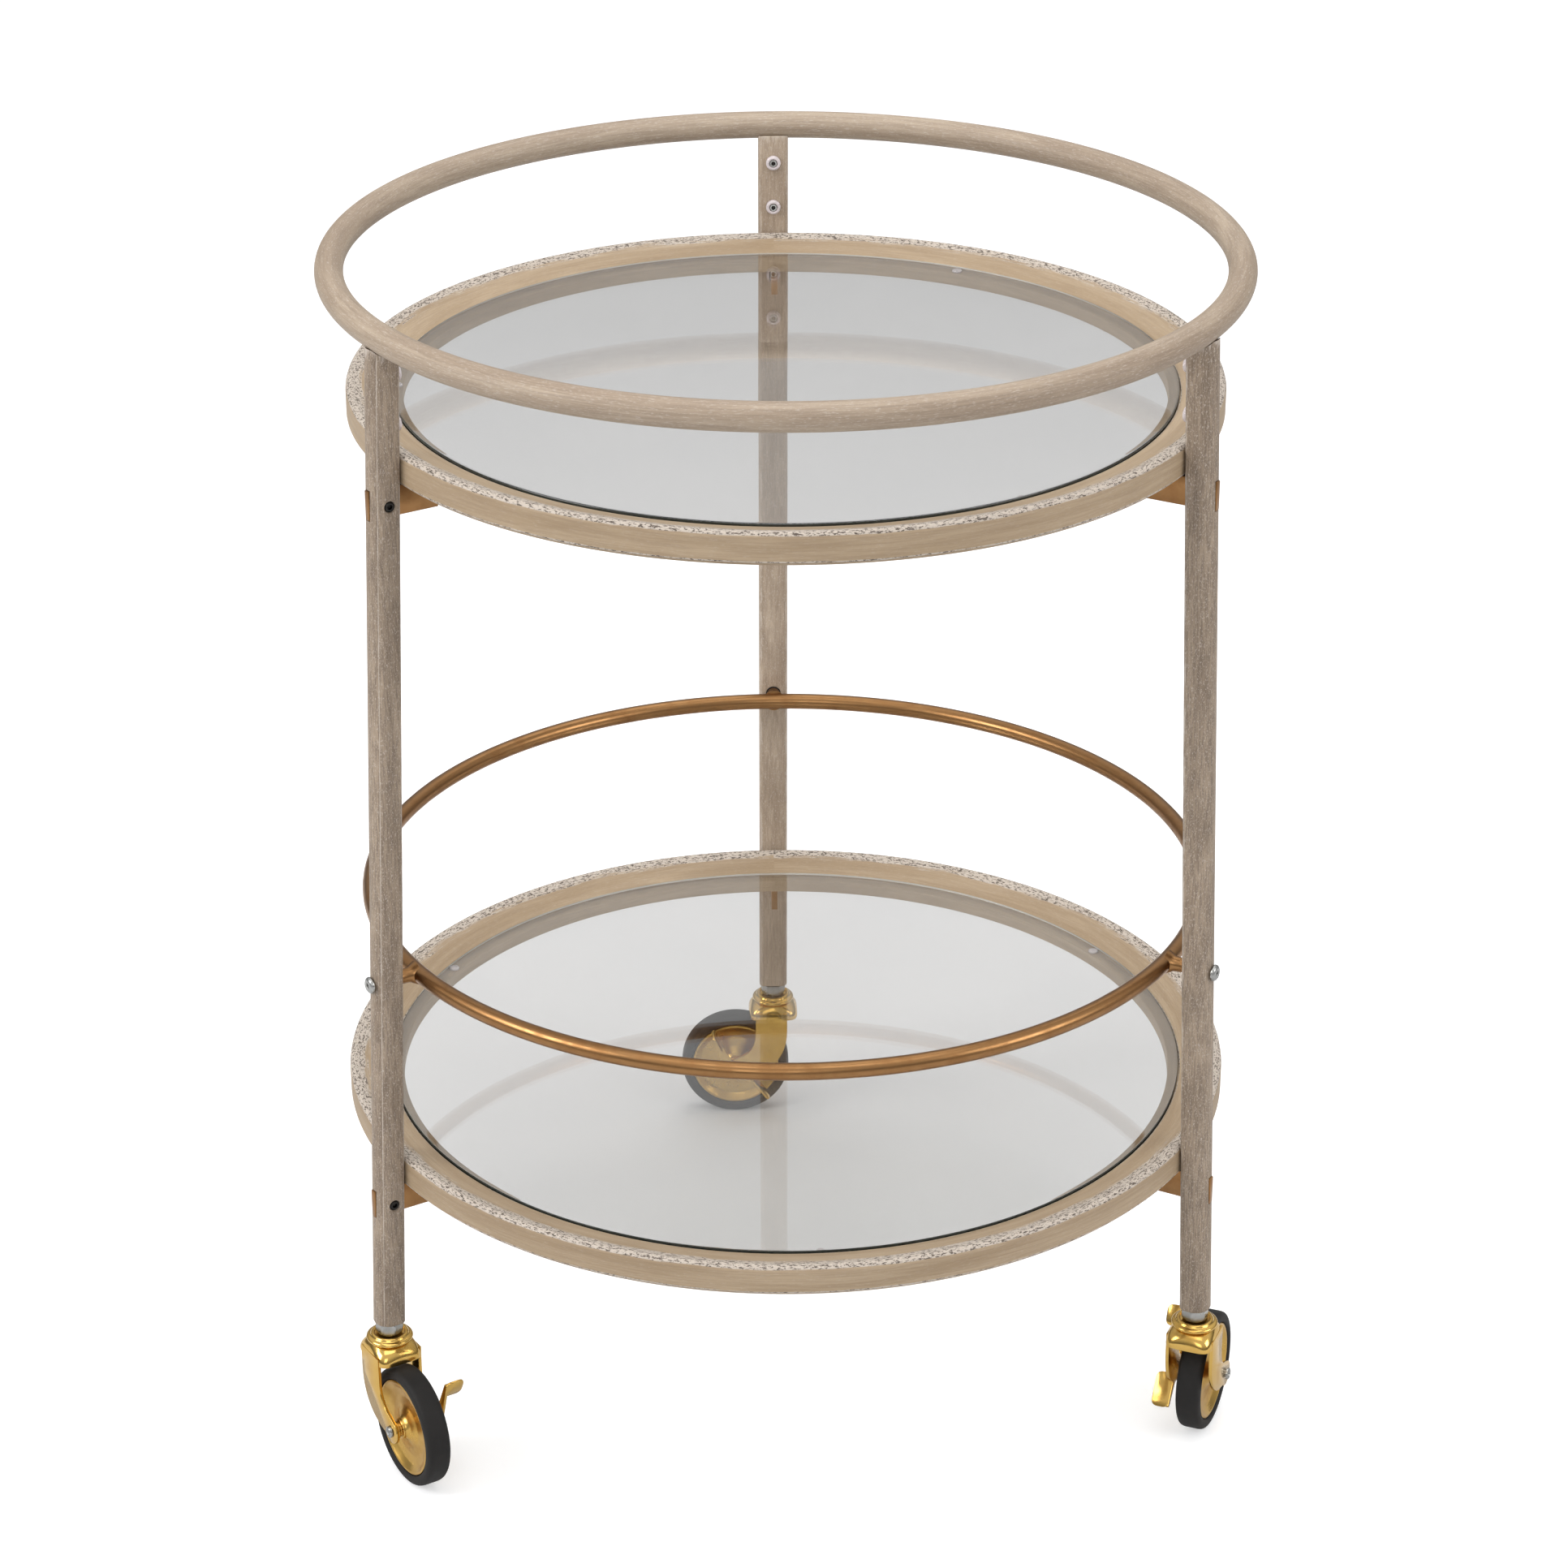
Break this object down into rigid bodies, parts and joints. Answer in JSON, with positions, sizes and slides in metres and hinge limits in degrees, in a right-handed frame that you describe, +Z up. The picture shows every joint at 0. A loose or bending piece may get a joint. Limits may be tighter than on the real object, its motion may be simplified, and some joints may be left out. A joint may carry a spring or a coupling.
{
  "type": "bar cart",
  "caption": "Round two-tier bar cart with bent wood trays holding glass, a wooden top rail, a metal gallery ring and braked swivel casters.",
  "frame": {"origin": "on the floor, under the middle of the round trays and the top rail", "axes": "+Z up; +Y towards the rear leg; +X to the right seen from the front"},
  "size_m": [0.627, 0.6542, 0.8365],
  "materials": {
    "limed_wood": "limed and wire-brushed",
    "bent_wood": "sanded, clear matt finish",
    "clear_glass": "polished",
    "copper_metal": "satin copper-gold plating",
    "bright_brass": "polished plating",
    "zinc_steel": "bright zinc plating",
    "black_steel": "black oxide",
    "clear_plastic": "translucent",
    "black_rubber": "matt"
  },
  "bodies": {
    "cart": {"caster_stem_left": "zinc_steel", "caster_stem_rear": "zinc_steel", "caster_stem_right": "zinc_steel", "gallery_bolt_left": "zinc_steel", "gallery_bolt_rear": "zinc_steel", "gallery_bolt_right": "zinc_steel", "gallery_ring": "copper_metal", "high_bolt_left": "zinc_steel", "high_bolt_rear": "zinc_steel", "high_bolt_right": "zinc_steel", "high_collar_left": "clear_plastic", "high_collar_rear": "clear_plastic", "high_collar_right": "clear_plastic", "leg_left": "limed_wood", "leg_rear": "limed_wood", "leg_right": "limed_wood", "low_bolt_left": "zinc_steel", "low_bolt_rear": "zinc_steel", "low_bolt_right": "zinc_steel", "low_collar_left": "clear_plastic", "low_collar_rear": "clear_plastic", "low_collar_right": "clear_plastic", "lower_bracket_left": "copper_metal", "lower_bracket_rear": "copper_metal", "lower_bracket_right": "copper_metal", "lower_bumper_1": "clear_plastic", "lower_bumper_2": "clear_plastic", "lower_bumper_3": "clear_plastic", "lower_glass": "clear_glass", "lower_lock_screw_left": "black_steel", "lower_lock_screw_rear": "black_steel", "lower_lock_screw_right": "black_steel", "lower_rim": "bent_wood", "top_rail": "bent_wood", "upper_bracket_left": "copper_metal", "upper_bracket_rear": "copper_metal", "upper_bracket_right": "copper_metal", "upper_bumper_1": "clear_plastic", "upper_bumper_2": "clear_plastic", "upper_bumper_3": "clear_plastic", "upper_glass": "clear_glass", "upper_lock_screw_left": "black_steel", "upper_lock_screw_rear": "black_steel", "upper_lock_screw_right": "black_steel", "upper_rim": "bent_wood"},
    "fork_rear": {"caster_fork_rear": "bright_brass", "caster_axle_rear": "zinc_steel"},
    "wheel_rear": {"wheel_hub_rear": "bright_brass", "wheel_tyre_rear": "black_rubber"},
    "brake_rear": {"brake_lever_rear": "bright_brass"},
    "fork_left": {"caster_fork_left": "bright_brass", "caster_axle_left": "zinc_steel"},
    "wheel_left": {"wheel_hub_left": "bright_brass", "wheel_tyre_left": "black_rubber"},
    "brake_left": {"brake_lever_left": "bright_brass"},
    "fork_right": {"caster_fork_right": "bright_brass", "caster_axle_right": "zinc_steel"},
    "wheel_right": {"wheel_hub_right": "bright_brass", "wheel_tyre_right": "black_rubber"},
    "brake_right": {"brake_lever_right": "bright_brass"}
  },
  "joints": [
    {"name": "swivel_rear", "type": "hinge", "parent": "cart", "child": "fork_rear", "pos_m": [0, 0.32407, 0.0977], "axis": [0, 0, 1], "continuous": true},
    {"name": "spin_rear", "type": "hinge", "parent": "fork_rear", "child": "wheel_rear", "pos_m": [-0.03, 0.32407, 0.0425], "axis": [0, -1, 0], "continuous": true},
    {"name": "brake_rear", "type": "hinge", "parent": "fork_rear", "child": "brake_rear", "pos_m": [-0.03, 0.32407, 0.0425], "axis": [0, -1, 0], "range_deg": [0, 15]},
    {"name": "swivel_left", "type": "hinge", "parent": "cart", "child": "fork_left", "pos_m": [-0.28065, -0.16203, 0.0977], "axis": [0, 0, 1], "continuous": true},
    {"name": "spin_left", "type": "hinge", "parent": "fork_left", "child": "wheel_left", "pos_m": [-0.26565, -0.18801, 0.0425], "axis": [0.866, 0.5, 0], "continuous": true},
    {"name": "brake_left", "type": "hinge", "parent": "fork_left", "child": "brake_left", "pos_m": [-0.26565, -0.18801, 0.0425], "axis": [0.866, 0.5, 0], "range_deg": [0, 15]},
    {"name": "swivel_right", "type": "hinge", "parent": "cart", "child": "fork_right", "pos_m": [0.28065, -0.16203, 0.0977], "axis": [0, 0, 1], "continuous": true},
    {"name": "spin_right", "type": "hinge", "parent": "fork_right", "child": "wheel_right", "pos_m": [0.29237, -0.13442, 0.0425], "axis": [-0.9205, 0.3907, 0], "continuous": true},
    {"name": "brake_right", "type": "hinge", "parent": "fork_right", "child": "brake_right", "pos_m": [0.29237, -0.13442, 0.0425], "axis": [-0.9205, 0.3907, 0], "range_deg": [0, 15]}
  ]
}
